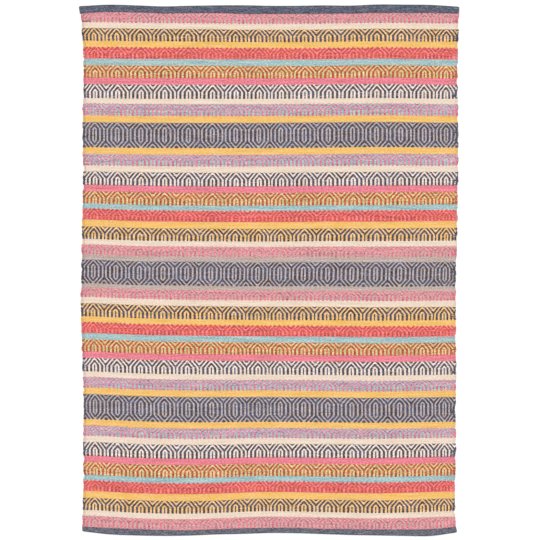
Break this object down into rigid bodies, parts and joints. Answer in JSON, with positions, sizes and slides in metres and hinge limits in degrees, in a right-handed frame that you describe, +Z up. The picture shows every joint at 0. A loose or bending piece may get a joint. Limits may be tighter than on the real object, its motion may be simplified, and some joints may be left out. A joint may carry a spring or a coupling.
{
  "type": "kilim rug",
  "caption": "Flat-woven kilim rug lying flat: coloured stripes, nested-arch and hexagon bands, wavering selvedges, and a folded navy tape sewn over each end.",
  "frame": {"origin": "on the floor under the centre of the rug's outline", "axes": "+Z up out of the rug's face, +Y along the warp towards the head end, whose arches point that way, +X across the rug along the wefts"},
  "size_m": [1.72, 2.4036, 0.0056],
  "materials": {
    "woven_wool": "matte weft-faced flatweave of many colours",
    "binding_tape": "matte navy-grey woven cotton tape"
  },
  "bodies": {
    "root": {"woven_cloth": "woven_wool", "head_binding": "binding_tape", "foot_binding": "binding_tape"}
  },
  "joints": []
}
